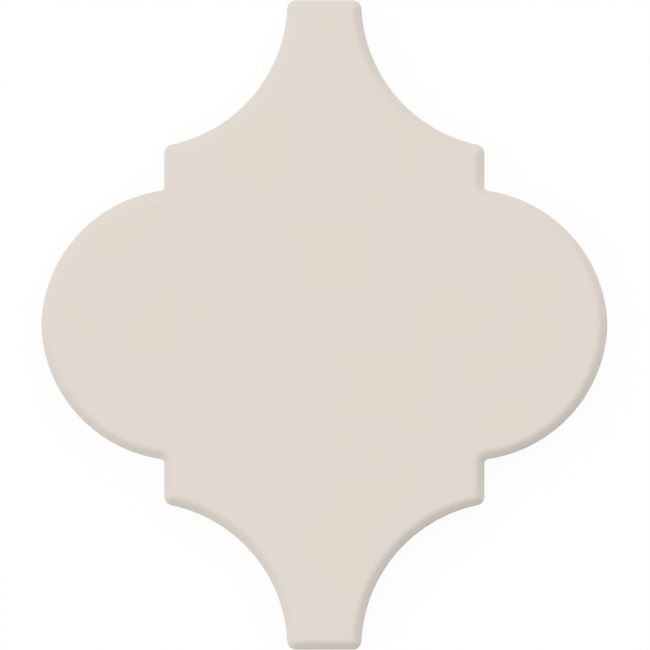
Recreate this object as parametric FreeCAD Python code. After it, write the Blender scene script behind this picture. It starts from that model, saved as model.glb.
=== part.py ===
"""Arabesque (lantern) wall tile: one dry-pressed, glazed and fired piece, in millimetres.

The tile lies on its back with its glazed face up. The origin is the middle of the back, +Z points
out of the face, +Y runs from neck to neck and +X from lobe to lobe.

Tiles are laid in staggered columns. Necks meet end to end, and the tip of each lobe points at the
joint between two necks, so half of the lobe lies in the bite of the tile above and half in the bite
of the tile below. The radii and the shoulders are worked out so that the joint stays open all round.

The outline is mirrored about both axes. Each quarter of it, from a lobe's tip to a neck's end, is the
tip, half a lobe, the small hollow of the nook, a short upright shoulder, its rounded corner, a hollow
bite and the neck's rounded corner, each tangent to the next. Drawn in by a distance, it keeps the
centres of its arcs, so the sides, the cushion edge and the key in the back all run parallel to it.
"""

import math
import os

import FreeCAD
import Part

# Outline of the face
TILE_LENGTH = 160.0  # neck end to neck end
TILE_WIDTH = 139.5  # lobe tip to lobe tip
NECK_WIDTH = 18.2  # across a neck, close to its end
SHOULDER_STEP = 10.25  # from the top of a lobe up to the bottom of the bite
BITE_EASE = 1.5  # by which a bite is larger in radius than the lobe that lies in it
BITE_SETBACK = 0.35  # from the neck's end in to the line of the bite's centre
LOBE_OVERLAP = 1.1  # each half lobe is struck from this far past the middle line, which points it a little
TIP_RADIUS = 12.0  # eases the point of a lobe
NOOK_RADIUS = 1.1  # inner corners between shoulder and lobe
CORNER_RADIUS = 2.2  # outer corners of shoulders and necks
LEAST_CORNER = 0.5  # left at those corners where the outline is drawn in past their radius

# Section
TILE_THICKNESS = 8.0
EDGE_BAND = 3.0  # width of the cushion edge, from the sides in to the flat of the face
EDGE_SLOPE = 50.0  # degrees that the bevel in the middle of the cushion edge falls
EDGE_RADIUS = 2.2  # of the rounds that turn the face into that bevel, and the bevel into the sides
EDGE_STEPS = 3  # that each of these rounds is lofted in
SIDE_DRAFT = 1.5  # degrees that the sides lean in towards the back, to leave the press
BACK_BEVEL = 0.6  # round the back

# Key pressed into the back for the adhesive
KEY_PITCH = 12.0  # from pocket to pocket, both ways
KEY_RIB = 3.0  # width of the ribs between pockets
KEY_RIM = 5.0  # plain band left round the back
KEY_DEPTH = 0.7
KEY_DRAFT = 20.0  # degrees that the sides of a pocket lean
KEY_LEAST = 0.3  # smallest pocket that the rim leaves open, as a share of a whole one

# Sizes that follow from those above
SHOULDER_WIDTH = (TILE_WIDTH + NECK_WIDTH) / 2
LOBE_RADIUS = (TILE_LENGTH / 2 - BITE_SETBACK - SHOULDER_STEP - BITE_EASE + LOBE_OVERLAP) / 2
BITE_RADIUS = LOBE_RADIUS + BITE_EASE
BEVEL_SLOPE = math.radians(EDGE_SLOPE)
BEVEL_WIDTH = EDGE_BAND - EDGE_RADIUS
EDGE_DROP = EDGE_RADIUS + BEVEL_WIDTH * math.tan(BEVEL_SLOPE)
WIDEST_HEIGHT = TILE_THICKNESS - EDGE_DROP  # where the cushion edge meets the sides
BACK_INSET = WIDEST_HEIGHT * math.tan(math.radians(SIDE_DRAFT))

NODE = "arabesque_tile"
UP = FreeCAD.Vector(0, 0, 1)
SAME_HEIGHT = 1e-6  # heights closer than this are taken as one


def leg(hypotenuse, other_leg):
    """The third side of a right-angled triangle."""
    return math.sqrt(hypotenuse**2 - other_leg**2)


def towards(centre, target, radius):
    """The point at radius from centre, on the way to target."""
    return centre + (target - centre).normalize() * radius


def arc(centre, radius, start, end):
    """The shorter arc about centre from start to end."""
    return Part.Arc(start, towards(centre, (start + end) / 2, radius), end).toShape()


def line(start, end):
    """A straight edge from start to end."""
    return Part.LineSegment(start, end).toShape()


def quarter(inset, side, way):
    """Edges of one quarter of the outline, drawn in by inset: side is 1 or -1 along X, way along Y."""

    def at(x, y):
        return FreeCAD.Vector(side * x, way * y, 0)

    end_y = TILE_LENGTH / 2 - inset
    shoulder_x = SHOULDER_WIDTH / 2 - inset
    tip_r = TIP_RADIUS - inset
    lobe_r = LOBE_RADIUS - inset
    nook_r = NOOK_RADIUS + inset
    bite_r = BITE_RADIUS + inset
    corner_r = max(CORNER_RADIUS - inset, LEAST_CORNER)

    # Centres of the arcs, each tangent to its neighbours
    tip_x = TILE_WIDTH / 2 - TIP_RADIUS
    lobe_x = tip_x - leg(lobe_r - tip_r, LOBE_OVERLAP)
    nook_x = shoulder_x + nook_r
    nook_y = leg(lobe_r + nook_r, nook_x - lobe_x) - LOBE_OVERLAP
    bite_x = NECK_WIDTH / 2 + BITE_RADIUS
    bite_y = TILE_LENGTH / 2 - BITE_SETBACK
    corner_x = shoulder_x - corner_r
    corner_y = bite_y - leg(bite_r + corner_r, bite_x - corner_x)
    neck_y = end_y - corner_r
    neck_x = bite_x - leg(bite_r + corner_r, bite_y - neck_y)
    tip, lobe, nook = at(tip_x, 0), at(lobe_x, -LOBE_OVERLAP), at(nook_x, nook_y)
    bite, corner, neck = at(bite_x, bite_y), at(corner_x, corner_y), at(neck_x, neck_y)

    # Points where one arc or line gives way to the next
    tip_end = towards(lobe, tip, lobe_r)
    lobe_end = towards(lobe, nook, lobe_r)
    nook_end = at(shoulder_x, nook_y)
    shoulder_end = at(shoulder_x, corner_y)
    bite_start = towards(bite, corner, bite_r)
    bite_end = towards(bite, neck, bite_r)
    neck_end = at(neck_x, end_y)

    edges = [
        arc(lobe, lobe_r, tip_end, lobe_end),
        arc(nook, nook_r, lobe_end, nook_end),
        line(nook_end, shoulder_end),
        arc(corner, corner_r, shoulder_end, bite_start),
        arc(bite, bite_r, bite_start, bite_end),
        arc(neck, corner_r, bite_end, neck_end),
    ]
    if way > 0:
        edges.append(arc(tip, tip_r, FreeCAD.Vector(tip_end.x, -tip_end.y, 0), tip_end))
    if side > 0:
        edges.append(line(at(-neck_x, end_y), neck_end))
    return edges


def outline(inset, height):
    """The closed outline at that height, drawn in by inset all round."""
    edges = [edge for side in (1, -1) for way in (1, -1) for edge in quarter(inset, side, way)]
    wire = Part.Wire(Part.__sortEdges__(edges))
    wire.translate(UP * height)
    return wire


def level_edges(solid, height):
    """The edges of solid that lie level at that height."""

    def is_there(edge):
        return all(abs(vertex.Z - height) < SAME_HEIGHT for vertex in edge.Vertexes)

    return [edge for edge in solid.Edges if is_there(edge)]


def round_rings(inset, height, first, last):
    """Outlines down a round of the cushion edge, which turns down from the angle first to last.

    The centre of the round lies inset from the sides, at that height.
    """
    turns = [first + (last - first) * step / EDGE_STEPS for step in range(EDGE_STEPS + 1)]
    return [outline(inset - EDGE_RADIUS * math.sin(t), height + EDGE_RADIUS * math.cos(t)) for t in turns]


def pressed_body():
    """The tile's body: drafted sides, the cushion edge round the face and the bevel round the back."""
    upper = round_rings(EDGE_BAND, TILE_THICKNESS - EDGE_RADIUS, 0, BEVEL_SLOPE)
    lower = round_rings(EDGE_RADIUS, WIDEST_HEIGHT, BEVEL_SLOPE, math.pi / 2)
    sides = Part.makeLoft([lower[-1], outline(BACK_INSET, 0)], True, True)
    bevel = Part.makeLoft([upper[-1], lower[0]], True, True)
    body = sides.fuse([Part.makeLoft(lower, True), bevel, Part.makeLoft(upper, True)])
    return body.makeChamfer(BACK_BEVEL, level_edges(body, 0))


def whole_pocket(lean):
    """A square pocket at the origin, each side of which leans in by lean over the pocket's depth."""
    mouth = (KEY_PITCH - KEY_RIB) / 2
    floor = mouth - lean
    pocket = Part.makeWedge(-mouth, 0, -mouth, -floor, -floor, mouth, KEY_DEPTH, mouth, floor, floor)
    return pocket.rotated(FreeCAD.Vector(), FreeCAD.Vector(1, 0, 0), 90)


def key_pockets():
    """Rows of square pockets with leaning sides, cut off where they meet the rim."""
    rim_inset = BACK_INSET + KEY_RIM
    lean = KEY_DEPTH * math.tan(math.radians(KEY_DRAFT))
    field = Part.makeLoft([outline(rim_inset, 0), outline(rim_inset + lean, KEY_DEPTH)], True, True)
    whole = whole_pocket(lean)
    columns = math.ceil(TILE_WIDTH / 2 / KEY_PITCH)
    rows = math.ceil(TILE_LENGTH / 2 / KEY_PITCH)
    pockets = []
    for column in range(-columns, columns + 1):
        for row in range(-rows, rows + 1):
            pocket = whole.translated(FreeCAD.Vector(column, row, 0) * KEY_PITCH).common(field)
            pockets += [solid for solid in pocket.Solids if solid.Volume > KEY_LEAST * whole.Volume]
    return pockets


tile = pressed_body().cut(key_pockets())

os.makedirs("parts", exist_ok=True)
tile.exportStep(f"parts/{NODE}.step")
print(f"{NODE}: {len(tile.Solids)} solid, {len(tile.Faces)} faces, {tile.Volume / 1000:.2f} cm3")
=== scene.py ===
"""Arabesque wall tile in a plain studio, seen square to its face.

The tile is one dry-pressed, fired piece. A matt glaze covers its face, its cushion edge and the top of
its sides, and ends there in a soft uneven lip. Below that lip, and on the keyed back, the biscuit is bare.
Sizes are in metres: +Z points out of the face, +Y runs from neck to neck and +X from lobe to lobe.
"""

import logging
import math
from collections.abc import Callable, Mapping, Sequence
from dataclasses import dataclass, field
from enum import IntEnum

import bmesh
import bpy
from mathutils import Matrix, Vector, geometry, noise


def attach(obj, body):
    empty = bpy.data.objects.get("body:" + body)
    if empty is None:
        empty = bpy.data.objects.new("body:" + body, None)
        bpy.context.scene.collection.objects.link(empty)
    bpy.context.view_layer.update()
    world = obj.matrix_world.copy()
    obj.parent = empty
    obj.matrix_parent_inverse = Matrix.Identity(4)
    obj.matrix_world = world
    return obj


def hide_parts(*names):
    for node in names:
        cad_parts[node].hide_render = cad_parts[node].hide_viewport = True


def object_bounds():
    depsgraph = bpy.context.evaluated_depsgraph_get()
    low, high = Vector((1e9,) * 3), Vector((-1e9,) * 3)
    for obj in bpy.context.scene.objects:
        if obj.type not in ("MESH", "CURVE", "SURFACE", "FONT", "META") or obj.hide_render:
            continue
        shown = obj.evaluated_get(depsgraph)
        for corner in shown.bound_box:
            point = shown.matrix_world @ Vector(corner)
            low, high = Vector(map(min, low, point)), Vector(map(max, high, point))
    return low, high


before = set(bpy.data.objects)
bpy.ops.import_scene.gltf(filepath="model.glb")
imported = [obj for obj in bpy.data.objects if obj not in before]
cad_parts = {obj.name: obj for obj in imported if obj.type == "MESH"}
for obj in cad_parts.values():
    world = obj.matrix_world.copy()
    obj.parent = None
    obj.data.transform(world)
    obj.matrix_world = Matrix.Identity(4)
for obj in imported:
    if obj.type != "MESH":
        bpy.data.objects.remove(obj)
CAD_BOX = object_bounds()

LOG = logging.getLogger("arabesque_tile")
NODE = "arabesque_tile"
MM = 0.001
RIGHT_ANGLE = math.pi / 2
RIGHT, UP, LEFT = Vector((1, 0)), Vector((0, 1)), Vector((-1, 0))
WHITE = "#FFFFFF"
THIN_GLAZE = "thin_glaze"  # point attribute: 0 where the glaze is full, 1 where it has drawn away
SAME_PLACE = 1e-7  # points closer than this are taken as one
WELD_GAP = 1e-6  # points closer than this are joined in the finished mesh

Loop = list[Vector]


class Coat(IntEnum):
    """What covers a face of the tile, as the number of its material slot."""

    GLAZE = 0
    BISCUIT = 1


def linear(colour: str) -> tuple[float, float, float, float]:
    """Turns an sRGB hex colour into linear light.

    Args:
        colour: Six hex digits after a hash sign.

    Returns:
        Red, green, blue and an alpha of 1.
    """
    shares = [int(colour[i : i + 2], 16) / 255 for i in (1, 3, 5)]
    red, green, blue = (s / 12.92 if s <= 0.04045 else ((s + 0.055) / 1.055) ** 2.4 for s in shares)
    return red, green, blue, 1.0


def add_node(
    tree: bpy.types.NodeTree,
    kind: str,
    output: str,
    inputs: Mapping[str, object] | None = None,
    **settings: object,
) -> bpy.types.NodeSocket:
    """Adds a node, sets its properties and feeds its inputs.

    Args:
        tree: Node tree that takes the node.
        kind: Name of the kind of node.
        output: Identifier of the output that is wanted.
        inputs: For an input's identifier, a value or the output that feeds it.
        **settings: Values of the node's own properties.

    Returns:
        The wanted output.
    """
    node = tree.nodes.new(kind)
    for name, value in settings.items():
        setattr(node, name, value)
    sockets = {socket.identifier: socket for socket in node.inputs}
    for name, value in (inputs or {}).items():
        if isinstance(value, bpy.types.NodeSocket):
            tree.links.new(value, sockets[name])
        else:
            sockets[name].default_value = value
    return {socket.identifier: socket for socket in node.outputs}[output]


def leg(hypotenuse: float, other_leg: float) -> float:
    """Gives the third side of a right-angled triangle."""
    return math.sqrt(hypotenuse**2 - other_leg**2)


def arc(centre: Vector, radius: float, start: Vector, end: Vector, steps: int) -> Loop:
    """Walks along an arc by the shorter way, leaving out its last point.

    Args:
        centre: Centre of the arc.
        radius: Its radius, which may be zero.
        start: Direction from the centre to the first point.
        end: Direction from the centre to the last point.
        steps: Number of points.

    Returns:
        Points of the arc.
    """
    first = math.atan2(start.y, start.x)
    sweep = (math.atan2(end.y, end.x) - first + math.pi) % math.tau - math.pi
    turns = (first + sweep * i / steps for i in range(steps))
    return [centre + Vector((math.cos(turn), math.sin(turn))) * radius for turn in turns]


def straight(start: Vector, end: Vector, steps: int) -> Loop:
    """Walks along a line, leaving out its last point.

    Args:
        start: First point.
        end: Point where the line ends.
        steps: Number of points.

    Returns:
        Points of the line.
    """
    return [start.lerp(end, i / steps) for i in range(steps)]


def is_inside(point: Vector, loop: Sequence[Vector]) -> bool:
    """Tells whether a point lies inside a closed loop.

    Args:
        point: Point in plan.
        loop: Corners of the loop, in order.

    Returns:
        True for a point inside.
    """
    inside = False
    last = loop[-1]
    for corner in loop:
        if (corner.y > point.y) != (last.y > point.y):
            share = (point.y - corner.y) / (last.y - corner.y)
            inside ^= point.x < corner.x + share * (last.x - corner.x)
        last = corner
    return inside


def clipped(loop: Sequence[Vector], convex: Sequence[Vector]) -> Loop:
    """Cuts a loop down to what lies inside a convex loop.

    Args:
        loop: Loop that is cut.
        convex: Convex loop, anticlockwise, that it is cut to.

    Returns:
        Corners of what is left, or none.
    """
    left = list(loop)
    for start, end in zip(convex, [*convex[1:], convex[0]]):
        way = end - start
        sides = [way.cross(corner - start) for corner in left]
        kept: Loop = []
        for i, corner in enumerate(left):
            if (sides[i] < 0) != (sides[i - 1] < 0):
                kept.append(left[i - 1].lerp(corner, sides[i - 1] / (sides[i - 1] - sides[i])))
            if sides[i] >= 0:
                kept.append(corner)
        left = kept
    return left


def area_of(loop: Sequence[Vector]) -> float:
    """Gives the area of an anticlockwise loop."""
    return sum(a.cross(b) for a, b in zip(loop, [*loop[1:], *loop[:1]])) / 2


@dataclass(frozen=True)
class Ring:
    """A closed line round the tile, and what covers the strip between it and the next line down."""

    points: Loop
    coat: Coat
    thin: float = 0.0  # how far the glaze has drawn away, as in the point attribute


def join_rings(mesh: bmesh.types.BMesh, rings: Sequence[Ring]) -> None:
    """Joins each ring to the next one down with a strip of faces.

    Args:
        mesh: Mesh that takes the strips.
        rings: Rings from the top down, with as many points each.
    """
    thin = mesh.verts.layers.float.new(THIN_GLAZE)
    corners: list[list[bmesh.types.BMVert]] = []
    for ring in rings:
        row = [mesh.verts.new(p) for p in ring.points]
        for corner in row:
            corner[thin] = ring.thin
        corners.append(row)
    for ring, upper, lower in zip(rings, corners, corners[1:]):
        for i in range(len(upper)):
            strip = (upper[i - 1], lower[i - 1], lower[i], upper[i])
            mesh.faces.new(strip).material_index = ring.coat


def fill(mesh: bmesh.types.BMesh, loops: Sequence[Loop], spots: Sequence[Vector], coat: Coat) -> None:
    """Fills a closed loop with triangles that follow the loops and spots inside it.

    Args:
        mesh: Mesh that takes the triangles.
        loops: The outer loop, then any loops inside it.
        spots: Single points inside it.
        coat: What covers the triangles.
    """
    points = [p for loop in loops for p in loop] + list(spots)
    edges: list[tuple[int, int]] = []
    start = 0
    for loop in loops:
        edges += [(start + i, start + (i + 1) % len(loop)) for i in range(len(loop))]
        start += len(loop)
    flat = [p.to_2d() for p in points]
    within_edges = 1
    found, _, faces, origins, _, _ = geometry.delaunay_2d_cdt(flat, edges, [], within_edges, SAME_PLACE)
    heights = [points[origin[0]].z for origin in origins]
    corners = [mesh.verts.new((place.x, place.y, height)) for place, height in zip(found, heights)]
    for face in faces:
        mesh.faces.new([corners[i] for i in face]).material_index = coat


@dataclass(frozen=True)
class TileOutline:
    """Plan of the tile, with necks along Y and lobes along X, mirrored about both axes."""

    length: float
    width: float
    neck_width: float = 18.2 * MM
    shoulder_step: float = 10.25 * MM  # from the top of a lobe up to the bottom of the bite
    bite_ease: float = 1.5 * MM  # by which a bite is larger in radius than the lobe that lies in it
    bite_setback: float = 0.35 * MM  # from the neck's end in to the line of the bite's centre
    lobe_overlap: float = 1.1 * MM  # past the middle line, to where each half lobe is struck from
    tip_radius: float = 12.0 * MM
    nook_radius: float = 1.1 * MM  # inner corners between shoulder and lobe
    corner_radius: float = 2.2 * MM  # outer corners of shoulders and necks
    least_corner: float = 0.5 * MM  # left there where the outline is drawn in past that radius
    long_steps: int = 64
    short_steps: int = 8

    def quarter(self, inset: float) -> Loop:
        """Draws the quarter of the outline from a lobe's tip to the middle of a neck's end.

        Args:
            inset: Distance that the outline is drawn in by, all round.

        Returns:
            Points of the quarter, the same number for every inset.
        """
        lobe_radius = (
            self.length / 2 - self.bite_setback - self.shoulder_step - self.bite_ease + self.lobe_overlap
        ) / 2
        bite_radius = lobe_radius + self.bite_ease
        end_y = self.length / 2 - inset
        shoulder_x = (self.width + self.neck_width) / 4 - inset
        tip_r, lobe_r = self.tip_radius - inset, lobe_radius - inset
        nook_r, bite_r = self.nook_radius + inset, bite_radius + inset
        corner_r = max(self.corner_radius - inset, self.least_corner)

        # Centres of the arcs, each tangent to its neighbours
        tip = Vector((self.width / 2 - self.tip_radius, 0))
        lobe = Vector((tip.x - leg(lobe_r - tip_r, self.lobe_overlap), -self.lobe_overlap))
        nook_x = shoulder_x + nook_r
        nook = Vector((nook_x, lobe.y + leg(lobe_r + nook_r, nook_x - lobe.x)))
        bite = Vector((self.neck_width / 2 + bite_radius, self.length / 2 - self.bite_setback))
        corner_x = shoulder_x - corner_r
        corner = Vector((corner_x, bite.y - leg(bite_r + corner_r, bite.x - corner_x)))
        neck_y = end_y - corner_r
        neck = Vector((bite.x - leg(bite_r + corner_r, bite.y - neck_y), neck_y))

        end = Vector((0, end_y))
        return [
            *arc(tip, tip_r, RIGHT, tip - lobe, self.short_steps),
            *arc(lobe, lobe_r, tip - lobe, nook - lobe, self.long_steps),
            *arc(nook, nook_r, lobe - nook, LEFT, self.short_steps),
            *straight(nook + LEFT * nook_r, corner + RIGHT * corner_r, self.short_steps),
            *arc(corner, corner_r, RIGHT, bite - corner, self.short_steps),
            *arc(bite, bite_r, corner - bite, neck - bite, self.long_steps),
            *arc(neck, corner_r, bite - neck, UP, self.short_steps),
            *straight(neck + UP * corner_r, end, self.short_steps),
            end,
        ]

    def ring(self, inset: float) -> Loop:
        """Draws the whole outline, anticlockwise from the right lobe's tip.

        Args:
            inset: Distance that the outline is drawn in by, all round.

        Returns:
            Points of the closed outline, the same number for every inset.
        """
        quarter = self.quarter(inset)
        points: Loop = []
        for x, y in ((1, 1), (-1, 1), (-1, -1), (1, -1)):
            walk = quarter if x == y else quarter[::-1]
            points += [Vector((p.x * x, p.y * y)) for p in walk[:-1]]
        return points


@dataclass(frozen=True)
class CushionEdge:
    """Section of the face's edge: one round turns the face into a bevel, and one the bevel into the side."""

    band: float = 3.0 * MM  # from the side in to the flat of the face
    slope: float = math.radians(50)  # of the bevel
    radius: float = 2.2 * MM  # of both rounds
    face_steps: int = 10
    bevel_steps: int = 3
    arris_steps: int = 8

    def drop(self) -> float:
        """Gives how far the edge falls, from the face to the tile's widest line."""
        return self.radius + (self.band - self.radius) * math.tan(self.slope)

    def stations(self) -> list[tuple[float, float]]:
        """Walks the section from the flat of the face out to the widest line.

        Returns:
            Pairs of the inset from the widest line and the drop below the face.
        """
        foot = self.drop()
        rest = RIGHT_ANGLE - self.slope
        upper = [self.slope * i / self.face_steps for i in range(self.face_steps + 1)]
        lower = [self.slope + rest * i / self.arris_steps for i in range(self.arris_steps + 1)]
        face = [(self.band - self.radius * math.sin(t), self.radius * (1 - math.cos(t))) for t in upper]
        arris = [(self.radius * (1 - math.sin(t)), foot - self.radius * math.cos(t)) for t in lower]
        (inset, drop), (next_inset, next_drop) = face[-1], arris[0]
        shares = [i / self.bevel_steps for i in range(1, self.bevel_steps)]
        bevel = [(inset + (next_inset - inset) * s, drop + (next_drop - drop) * s) for s in shares]
        return face + bevel + arris


@dataclass(frozen=True)
class TileSide:
    """The side below the cushion edge: glaze down to its lip, then bare biscuit to the back's bevel."""

    draft: float = math.radians(1.5)
    glaze_thickness: float = 0.2 * MM
    glaze_foot: float = 3.0 * MM  # mean height of the lip above the back
    foot_wander: float = 0.55 * MM
    wander_length: float = 11.0 * MM
    ripple: float = 0.35  # of a quicker wander on top of it, as a share
    ripple_rate: float = 3.0  # by which that one is quicker
    back_bevel: float = 0.6 * MM
    bevel_ease: float = 0.1 * MM  # by which the bevel's two corners are eased
    wall_steps: int = 5
    lip_steps: int = 3
    bare_shares: tuple[float, float] = (0.05, 0.5)  # of the way down from the lip to the bevel

    def foot_at(self, place: Vector) -> float:
        """Gives the height of the glaze's lip above the back.

        Args:
            place: Place in plan.

        Returns:
            The height there.
        """
        slow = noise.noise(Vector((place.x, place.y, 0)) / self.wander_length)
        turned = Vector((place.y, place.x, self.wander_length))
        quick = noise.noise(turned * self.ripple_rate / self.wander_length)
        return self.glaze_foot + self.foot_wander * (slow + self.ripple * quick)


@dataclass(frozen=True)
class KeyedBack:
    """Rows of shallow pockets pressed into the back, with ribs between them and a plain rim round them."""

    pitch: float = 12.0 * MM
    rib: float = 3.0 * MM
    rim: float = 5.0 * MM
    depth: float = 0.7 * MM
    draft: float = math.radians(20)
    soft_edge: float = 0.14 * MM  # by which the lip and the foot of a pocket's side are eased
    side_limits: tuple[float, float] = (0.15, 0.85)  # of the depth, between which the side is straight
    corner_radius: float = 0.8 * MM
    least: float = 0.3  # smallest pocket that the rim leaves open, as a share of a whole one
    corner_steps: int = 4

    def square(self, inset: float) -> Loop:
        """Draws a pocket's square with rounded corners about the origin.

        Args:
            inset: Distance in from the pocket's mouth.

        Returns:
            Points of the square, anticlockwise.
        """
        radius = max(self.corner_radius - inset, self.soft_edge)
        reach = (self.pitch - self.rib) / 2 - inset - radius
        points: Loop = []
        for start, end in ((RIGHT, UP), (UP, LEFT), (LEFT, -UP), (-UP, RIGHT)):
            corner = (start + end) * reach
            points += [*arc(corner, radius, start, end, self.corner_steps), corner + end * radius]
        return points

    def sections(self) -> list[tuple[float, float]]:
        """Walks down a pocket's side.

        Returns:
            Pairs of the inset from the pocket's mouth and the depth there.
        """
        lean = self.depth * math.tan(self.draft)
        side = [(share * lean, share * self.depth) for share in self.side_limits]
        return [(-self.soft_edge, 0.0), *side, (lean + self.soft_edge, self.depth)]

    def pockets(self, line: Callable[[float], Loop], reach: float) -> list[list[Loop]]:
        """Draws the loops of every pocket, cut off where they meet the rim.

        Args:
            line: Gives the rim's inner line, drawn in by a distance.
            reach: Half of the tile's longest side.

        Returns:
            For each pocket, its loop at each of the sections.
        """
        lines = [line(inset) for inset, _ in self.sections()]
        squares = [self.square(inset) for inset, _ in self.sections()]
        least_size = self.least * sum(area_of(square) for square in squares)
        cells = math.ceil(reach / self.pitch)
        found: list[list[Loop]] = []
        for column in range(-cells, cells + 1):
            for row in range(-cells, cells + 1):
                middle = Vector((column, row)) * self.pitch
                loops = [[p + middle for p in square] for square in squares]
                if not all(is_inside(p, lines[-1]) for p in loops[0]):
                    loops = [clipped(rim, loop) for rim, loop in zip(lines, loops)]
                if sum(area_of(loop) for loop in loops) > least_size:
                    found.append(loops)
        return found


@dataclass(frozen=True)
class MattGlaze:
    """Opaque matt glaze, sprayed on and fired."""

    colour: str = "#E2D8CF"
    deep_colour: str = "#E1D7CD"
    thin_colour: str = "#E8E1D7"  # at the lip, where the pale biscuit shows through
    roughness: tuple[float, float] = (0.62, 0.7)
    ior: float = 1.5
    cloud: float = 16 * MM  # width of a patch that fired a little deeper
    cloud_detail: float = 4.0
    cloud_limits: tuple[float, float] = (0.38, 0.66)  # of the noise, from the one colour to the other
    sheen_limits: tuple[float, float] = (0.3, 0.7)  # of the noise, from the least roughness to the most
    dimple: float = 1.2 * MM  # of the eggshell skin, drawn about twice as wide as real so that it shows
    dimple_detail: float = 2.0
    dimple_height: float = 0.007 * MM

    def material(self) -> bpy.types.Material:
        """Builds the glaze as a material.

        Returns:
            The material.
        """
        # An eggshell skin: one even, opaque colour with a soft sheen and no clear highlight
        made = bpy.data.materials.new("matt_glaze_sprayed")
        made.use_nodes = True
        tree = made.node_tree
        shader = tree.nodes["Principled BSDF"]
        shader.inputs["IOR"].default_value = self.ior

        # Colour: faint clouds, paler at the lip
        place = add_node(tree, "ShaderNodeTexCoord", "Object")
        cloud = add_node(
            tree,
            "ShaderNodeTexNoise",
            "Fac",
            {"Vector": place, "Scale": 1 / self.cloud, "Detail": self.cloud_detail},
        )
        low, high = self.cloud_limits
        patch = add_node(
            tree, "ShaderNodeMapRange", "Result", {"Value": cloud, "From Min": low, "From Max": high}
        )
        full = add_node(
            tree,
            "ShaderNodeMix",
            "Result_Color",
            {"Factor_Float": patch, "A_Color": linear(self.colour), "B_Color": linear(self.deep_colour)},
            data_type="RGBA",
        )
        thin = add_node(tree, "ShaderNodeAttribute", "Fac", attribute_name=THIN_GLAZE)
        shown = add_node(
            tree,
            "ShaderNodeMix",
            "Result_Color",
            {"Factor_Float": thin, "A_Color": full, "B_Color": linear(self.thin_colour)},
            data_type="RGBA",
        )
        tree.links.new(shown, shader.inputs["Base Color"])

        # Skin: dimples, and a sheen that follows the clouds
        low, high = self.sheen_limits
        least, most = self.roughness
        sheen = add_node(
            tree,
            "ShaderNodeMapRange",
            "Result",
            {"Value": cloud, "From Min": low, "From Max": high, "To Min": least, "To Max": most},
        )
        tree.links.new(sheen, shader.inputs["Roughness"])
        skin = add_node(
            tree,
            "ShaderNodeTexNoise",
            "Fac",
            {"Vector": place, "Scale": 1 / self.dimple, "Detail": self.dimple_detail},
        )
        normal = add_node(tree, "ShaderNodeBump", "Normal", {"Height": skin, "Distance": self.dimple_height})
        tree.links.new(normal, shader.inputs["Normal"])
        return made


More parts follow.
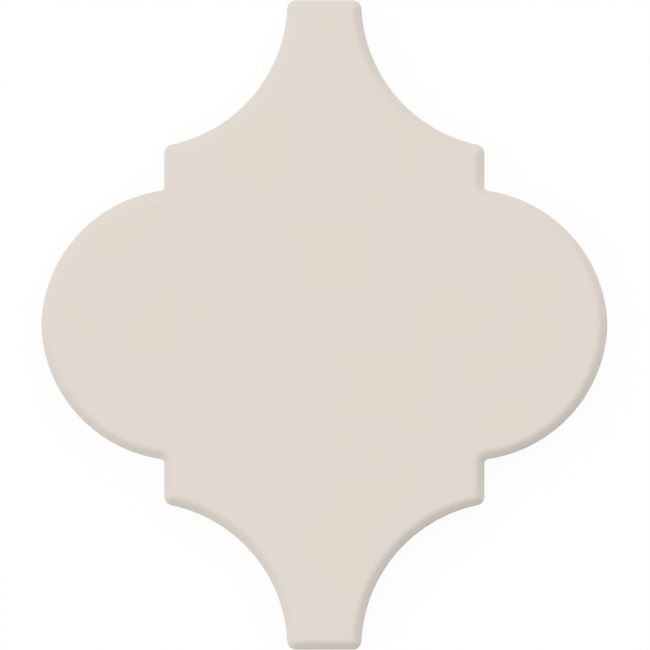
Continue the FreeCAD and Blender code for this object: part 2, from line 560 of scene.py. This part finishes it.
@dataclass(frozen=True)
class PressedBiscuit:
    """Buff wall-tile clay, pressed from spray-dried grains and fired."""

    colour: str = "#D9CBB5"
    pale_grain: str = "#E5DAC8"
    dark_grain: str = "#B8A58B"
    wash: str = "#EAE4DA"  # kiln wash left on the rim and the ribs
    roughness: tuple[float, float] = (0.86, 0.96)
    ior: float = 1.5
    grain: float = 0.55 * MM
    grain_detail: float = 4.0
    grain_height: float = 0.03 * MM
    fleck: float = 1.7 * MM  # spacing of the darker grains
    fleck_limits: tuple[float, float] = (0.1, 0.16)  # of that spacing, from a fleck's middle to its end
    fleck_strength: float = 0.75
    wash_depth: float = 0.12 * MM  # height above the back's plane at which the wash ends
    wash_strength: float = 0.8
    wash_patch: float = 9 * MM
    wash_detail: float = 6.0
    wash_limits: tuple[float, float] = (0.4, 0.62)  # of the noise, from worn off to whole

    def material(self) -> bpy.types.Material:
        """Builds the biscuit as a material.

        Returns:
            The material.
        """
        # A chalky, dry surface: finely speckled, with no sheen
        made = bpy.data.materials.new("buff_biscuit_pressed")
        made.use_nodes = True
        tree = made.node_tree
        shader = tree.nodes["Principled BSDF"]
        shader.inputs["IOR"].default_value = self.ior

        # Colour: packed grains and a few dark ones
        place = add_node(tree, "ShaderNodeTexCoord", "Object")
        grains = add_node(
            tree, "ShaderNodeTexVoronoi", "Color", {"Vector": place, "Scale": 1 / self.grain}
        )
        tone = add_node(tree, "ShaderNodeSeparateColor", "Red", {"Color": grains})
        clay = add_node(
            tree,
            "ShaderNodeMix",
            "Result_Color",
            {"Factor_Float": tone, "A_Color": linear(self.colour), "B_Color": linear(self.pale_grain)},
            data_type="RGBA",
        )
        spots = add_node(
            tree, "ShaderNodeTexVoronoi", "Distance", {"Vector": place, "Scale": 1 / self.fleck}
        )
        low, high = self.fleck_limits
        fleck = add_node(
            tree,
            "ShaderNodeMapRange",
            "Result",
            {
                "Value": spots,
                "From Min": low,
                "From Max": high,
                "To Min": self.fleck_strength,
                "To Max": 0.0,
            },
        )
        flecked = add_node(
            tree,
            "ShaderNodeMix",
            "Result_Color",
            {"Factor_Float": fleck, "A_Color": clay, "B_Color": linear(self.dark_grain)},
            data_type="RGBA",
        )

        # Kiln wash, worn, on what touched the kiln's shelf
        height = add_node(tree, "ShaderNodeSeparateXYZ", "Z", {"Vector": place})
        touched = add_node(
            tree,
            "ShaderNodeMapRange",
            "Result",
            {"Value": height, "From Max": self.wash_depth, "To Min": self.wash_strength, "To Max": 0.0},
        )
        worn = add_node(
            tree,
            "ShaderNodeTexNoise",
            "Fac",
            {"Vector": place, "Scale": 1 / self.wash_patch, "Detail": self.wash_detail},
        )
        low, high = self.wash_limits
        left = add_node(
            tree, "ShaderNodeMapRange", "Result", {"Value": worn, "From Min": low, "From Max": high}
        )
        washed = add_node(
            tree, "ShaderNodeMath", "Value", {"Value": touched, "Value_001": left}, operation="MULTIPLY"
        )
        shown = add_node(
            tree,
            "ShaderNodeMix",
            "Result_Color",
            {"Factor_Float": washed, "A_Color": flecked, "B_Color": linear(self.wash)},
            data_type="RGBA",
        )
        tree.links.new(shown, shader.inputs["Base Color"])

        # Skin: dry and granular
        least, most = self.roughness
        dry = add_node(
            tree, "ShaderNodeMapRange", "Result", {"Value": tone, "To Min": least, "To Max": most}
        )
        tree.links.new(dry, shader.inputs["Roughness"])
        rough = add_node(
            tree,
            "ShaderNodeTexNoise",
            "Fac",
            {"Vector": place, "Scale": 1 / self.grain, "Detail": self.grain_detail},
        )
        normal = add_node(tree, "ShaderNodeBump", "Normal", {"Height": rough, "Distance": self.grain_height})
        tree.links.new(normal, shader.inputs["Normal"])
        return made


@dataclass
class ArabesqueTile:
    """The whole tile: one closed mesh, glazed above and bare below."""

    outline: TileOutline
    thickness: float
    edge: CushionEdge = field(default_factory=CushionEdge)
    side: TileSide = field(default_factory=TileSide)
    back: KeyedBack = field(default_factory=KeyedBack)
    glaze: MattGlaze = field(default_factory=MattGlaze)
    biscuit: PressedBiscuit = field(default_factory=PressedBiscuit)
    face_grid: float = 2.5 * MM
    face_wave: float = 45 * MM  # length of the slow waves that firing leaves in the face
    face_dip: float = 0.03 * MM

    def widest(self) -> float:
        """Gives the height of the tile's widest line, where the cushion edge meets the side."""
        return self.thickness - self.edge.drop()

    def dip_at(self, place: Vector) -> float:
        """Gives how far firing has drawn the face down at a place in plan."""
        wave = noise.noise(Vector((place.x, place.y, self.face_wave)) / self.face_wave)
        return self.face_dip * (1 + max(-1.0, min(1.0, wave))) / 2

    def face_rings(self) -> list[Ring]:
        """Draws the cushion edge, from the flat of the face down to the widest line.

        Returns:
            Rings from the top down.
        """
        rings: list[Ring] = []
        for inset, drop in self.edge.stations():
            height = self.thickness - drop
            points = [Vector((p.x, p.y, height - self.dip_at(p))) for p in self.outline.ring(inset)]
            rings.append(Ring(points, Coat.GLAZE))
        return rings

    def side_rings(self) -> list[Ring]:
        """Draws the side, from below the widest line to the plane of the back.

        Returns:
            Rings from the top down.
        """
        side = self.side
        widest = self.widest()
        lean = math.tan(side.draft)
        feet = [side.foot_at(p) for p in self.outline.ring(0)]
        rings: list[Ring] = []

        def add_ring(inset: float, heights: Sequence[float], coat: Coat, thin: float = 0.0) -> None:
            """Adds a ring with a height for each of its points."""
            points = [Vector((p.x, p.y, z)) for p, z in zip(self.outline.ring(inset), heights)]
            rings.append(Ring(points, coat, thin))

        # Glazed wall, down to where the lip begins
        roll = side.glaze_thickness
        wall = (widest - side.glaze_foot) * lean
        for step in range(1, side.wall_steps + 1):
            share = step / side.wall_steps
            heights = [widest + (foot + roll - widest) * share for foot in feet]
            add_ring(wall * share, heights, Coat.GLAZE)

        # Lip, which rolls in by the glaze's thickness
        for step in range(1, side.lip_steps + 1):
            share = step / side.lip_steps
            turn = RIGHT_ANGLE * share
            rise = roll * (1 - math.sin(turn))
            coat = Coat.GLAZE if step < side.lip_steps else Coat.BISCUIT
            add_ring(wall + roll * (1 - math.cos(turn)), [foot + rise for foot in feet], coat, share)

        # Bare wall below it
        bevel, ease = side.back_bevel, side.bevel_ease
        bare = wall + roll
        bare_lean = (side.glaze_foot - bevel) * lean
        for share in side.bare_shares:
            heights = [foot + (bevel - foot) * share for foot in feet]
            add_ring(bare + bare_lean * share, heights, Coat.BISCUIT)

        # Bevel round the back
        for inset, height in (
            (0.0, bevel + ease),
            (ease / 2, bevel - ease / 2),
            (bevel - ease / 2, ease / 2),
            (bevel + ease, 0.0),
        ):
            add_ring(bare + bare_lean + inset, [height] * len(feet), Coat.BISCUIT)
        return rings

    def face_spots(self) -> list[Vector]:
        """Sets points in a grid of triangles on the flat of the face, to carry its slow waves.

        Returns:
            Points inside the cushion edge.
        """
        inner = self.outline.ring(self.edge.band + self.face_grid / 2)
        step, row_step = self.face_grid, self.face_grid * math.sqrt(3) / 2
        columns = math.ceil(self.outline.width / 2 / step)
        rows = math.ceil(self.outline.length / 2 / row_step)
        spots: list[Vector] = []
        for row in range(-rows, rows + 1):
            for column in range(-columns, columns + 1):
                place = Vector(((column + row % 2 / 2) * step, row * row_step))
                if is_inside(place, inner):
                    spots.append(Vector((place.x, place.y, self.thickness - self.dip_at(place))))
        return spots

    def pocket_loops(self) -> list[list[Loop]]:
        """Draws the pockets in the back at their depths.

        Returns:
            For each pocket, its loops from the mouth to the floor.
        """
        rim_inset = self.widest() * math.tan(self.side.draft) + self.back.rim
        reach = self.outline.length / 2
        pockets = self.back.pockets(lambda inset: self.outline.ring(rim_inset + inset), reach)
        depths = [depth for _, depth in self.back.sections()]
        return [
            [[Vector((p.x, p.y, depth)) for p in loop] for loop, depth in zip(pocket, depths)]
            for pocket in pockets
        ]

    def build(self) -> bpy.types.Object:
        """Builds the tile's mesh and puts it in the CAD node's place.

        Returns:
            The tile.
        """
        mesh = bmesh.new()
        rings = [*self.face_rings(), *self.side_rings()]
        pockets = self.pocket_loops()
        join_rings(mesh, rings)
        fill(mesh, [rings[0].points], self.face_spots(), Coat.GLAZE)
        fill(mesh, [rings[-1].points, *(loop for pocket in pockets for loop in pocket)], [], Coat.BISCUIT)
        bmesh.ops.remove_doubles(mesh, verts=mesh.verts, dist=WELD_GAP)
        bmesh.ops.recalc_face_normals(mesh, faces=mesh.faces)

        # Everything is shaded smooth but the level faces of the back
        for face in mesh.faces:
            face.smooth = face.normal.z > -1 + SAME_PLACE
        data = bpy.data.meshes.new("glazed_tile")
        mesh.to_mesh(data)
        mesh.free()
        tile = bpy.data.objects.new("glazed_tile", data)
        bpy.context.scene.collection.objects.link(tile)
        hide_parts(NODE)
        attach(tile, "root")
        LOG.info("glazed_tile: %d faces, %d pockets in its back", len(data.polygons), len(pockets))
        return tile

    def dress(self, tile: bpy.types.Object) -> None:
        """Gives the tile its glaze and its bare biscuit.

        Args:
            tile: The tile's object.
        """
        for finish in (self.glaze, self.biscuit):
            tile.data.materials.append(finish.material())
        LOG.info("glazed_tile: dressed in %s", ", ".join(m.name for m in tile.data.materials))


@dataclass(frozen=True)
class Studio:
    """White floor and dome, a soft high key lamp, and the camera that looks straight down on the tile."""

    photo_width: int = 650  # pixels
    tile_pixels: float = 649.33  # the tile's length in the photograph
    tile_centre: tuple[float, float] = (324.33, 324.92)  # pixels from the photograph's left and top
    lens: float = 400.0  # millimetres
    dome_light: float = 0.928  # with the key, lights a level face so that a colour shows about as written
    key_light: float = 0.087
    key_zenith: float = math.radians(5)
    key_azimuth: float = math.radians(140)
    key_spread: float = math.radians(25)
    dark_colour: str = "#455F48"  # of the low oval on the dome's one dark side: its green tints the shade
    dark_azimuth: float = math.radians(300)
    dark_tilt: float = math.radians(-10)  # of the oval's middle, as measured on the stretched dome
    dark_core: float = math.radians(68)  # reach of the full darkness from the oval's middle
    dark_end: float = math.radians(73)  # reach at which it has faded out
    dark_flatness: float = 4.0  # by which the dome is stretched upwards to draw the oval as a circle
    floor_size: float = 6.0
    floor_gap: float = 0.2 * MM
    floor_glow: float = 0.9  # share of the floor's white that the light doesn't change

    def hang_key(self) -> None:
        """Adds the soft key lamp."""
        key = bpy.data.lights.new("key", "SUN")
        key.energy = math.pi * self.key_light
        key.angle = self.key_spread
        lamp = bpy.data.objects.new("key", key)
        lamp.rotation_euler = (0, self.key_zenith, self.key_azimuth)
        bpy.context.scene.collection.objects.link(lamp)

    def raise_dome(self) -> None:
        """Adds the dome, which is white to the eye and lights the tile less from its dark side."""
        world = bpy.data.worlds.new("white_dome")
        world.use_nodes = True
        tree = world.node_tree
        level = math.cos(self.dark_tilt)
        dark_way = (
            level * math.cos(self.dark_azimuth),
            level * math.sin(self.dark_azimuth),
            math.sin(self.dark_tilt),
        )
        way = add_node(tree, "ShaderNodeTexCoord", "Generated")
        stretched = add_node(
            tree,
            "ShaderNodeVectorMath",
            "Vector",
            {"Vector": way, "Vector_001": (1.0, 1.0, self.dark_flatness)},
            operation="MULTIPLY",
        )
        stretched_way = add_node(
            tree, "ShaderNodeVectorMath", "Vector", {"Vector": stretched}, operation="NORMALIZE"
        )
        nearness = add_node(
            tree,
            "ShaderNodeVectorMath",
            "Value",
            {"Vector": stretched_way, "Vector_001": dark_way},
            operation="DOT_PRODUCT",
        )
        low, high = math.cos(self.dark_end), math.cos(self.dark_core)
        darkness = add_node(
            tree, "ShaderNodeMapRange", "Result", {"Value": nearness, "From Min": low, "From Max": high}
        )
        white = linear(WHITE)
        colour = add_node(
            tree,
            "ShaderNodeMix",
            "Result_Color",
            {"Factor_Float": darkness, "A_Color": white, "B_Color": linear(self.dark_colour)},
            data_type="RGBA",
        )
        dome = add_node(
            tree, "ShaderNodeBackground", "Background", {"Color": colour, "Strength": self.dome_light}
        )
        ground = add_node(tree, "ShaderNodeBackground", "Background", {"Color": white, "Strength": 1.0})
        both = add_node(
            tree,
            "ShaderNodeMixShader",
            "Shader",
            {"Fac": self.seen_share(tree), "Shader": dome, "Shader_001": ground},
        )
        tree.links.new(both, tree.nodes["World Output"].inputs["Surface"])
        bpy.context.scene.world = world

    @staticmethod
    def seen_share(tree: bpy.types.NodeTree) -> bpy.types.NodeSocket:
        """Gives 1 for rays that show the background and 0 for rays that only gather light.

        Args:
            tree: Node tree that takes the nodes.

        Returns:
            The output that carries the share.
        """
        camera = add_node(tree, "ShaderNodeLightPath", "Is Camera Ray")
        paths = camera.node.outputs
        glossy = add_node(
            tree,
            "ShaderNodeMath",
            "Value",
            {"Value": camera, "Value_001": paths["Is Glossy Ray"]},
            operation="MAXIMUM",
        )
        return add_node(
            tree,
            "ShaderNodeMath",
            "Value",
            {"Value": glossy, "Value_001": paths["Is Transmission Ray"]},
            operation="MAXIMUM",
        )

    def lay_floor(self) -> None:
        """Lays the white floor, which shows the tile's shadow and is see-through from below."""
        data = bpy.data.meshes.new("floor")
        half = self.floor_size / 2
        corners = [(-half, -half, 0), (half, -half, 0), (half, half, 0), (-half, half, 0)]
        data.from_pydata(corners, [], [(0, 1, 2, 3)])
        floor = bpy.data.objects.new("floor", data)
        floor.location.z = -self.floor_gap
        floor.visible_diffuse = False
        floor.visible_shadow = False
        bpy.context.scene.collection.objects.link(floor)

        # Matt white paper: no sheen, and only a faint shadow on it
        made = bpy.data.materials.new("white_paper_matt")
        made.use_nodes = True
        tree = made.node_tree
        tree.nodes.remove(tree.nodes["Principled BSDF"])
        white = linear(WHITE)
        paper = add_node(tree, "ShaderNodeBsdfDiffuse", "BSDF", {"Color": white})
        glow = add_node(tree, "ShaderNodeEmission", "Emission", {"Color": white, "Strength": 1.0})
        lit = add_node(
            tree,
            "ShaderNodeMixShader",
            "Shader",
            {"Fac": self.floor_glow, "Shader": paper, "Shader_001": glow},
        )
        below = add_node(tree, "ShaderNodeNewGeometry", "Backfacing")
        clear = add_node(tree, "ShaderNodeBsdfTransparent", "BSDF")
        shown = add_node(
            tree, "ShaderNodeMixShader", "Shader", {"Fac": below, "Shader": lit, "Shader_001": clear}
        )
        tree.links.new(shown, tree.nodes["Material Output"].inputs["Surface"])
        data.materials.append(made)

    def set_camera(self, tile_length: float, height: float) -> None:
        """Puts the camera above the tile, looking down, so that it fills the frame as in the photograph.

        Args:
            tile_length: The tile's length.
            height: Height of the tile's widest line.
        """
        view = bpy.data.cameras.new("camera")
        view.lens = self.lens
        pixel = tile_length / self.tile_pixels
        centre = self.photo_width / 2
        distance = self.photo_width * pixel * view.lens / view.sensor_width
        camera = bpy.data.objects.new("camera", view)
        camera.location = (
            (centre - self.tile_centre[0]) * pixel,
            (self.tile_centre[1] - centre) * pixel,
            height + distance,
        )
        bpy.context.scene.collection.objects.link(camera)
        bpy.context.scene.camera = camera


def main() -> None:
    """Builds the tile and the studio."""
    logging.basicConfig(level=logging.INFO, format="%(name)s: %(message)s")
    low, high = CAD_BOX
    size = high - low
    tile = ArabesqueTile(TileOutline(length=size.y, width=size.x), thickness=size.z)
    tile.dress(tile.build())

    studio = Studio()
    studio.hang_key()
    studio.raise_dome()
    studio.lay_floor()
    studio.set_camera(size.y, tile.widest())
    bpy.context.scene.view_settings.view_transform = "Standard"
    LOG.info("studio: key lamp, dome, floor and camera")


if __name__ == "__main__":
    main()
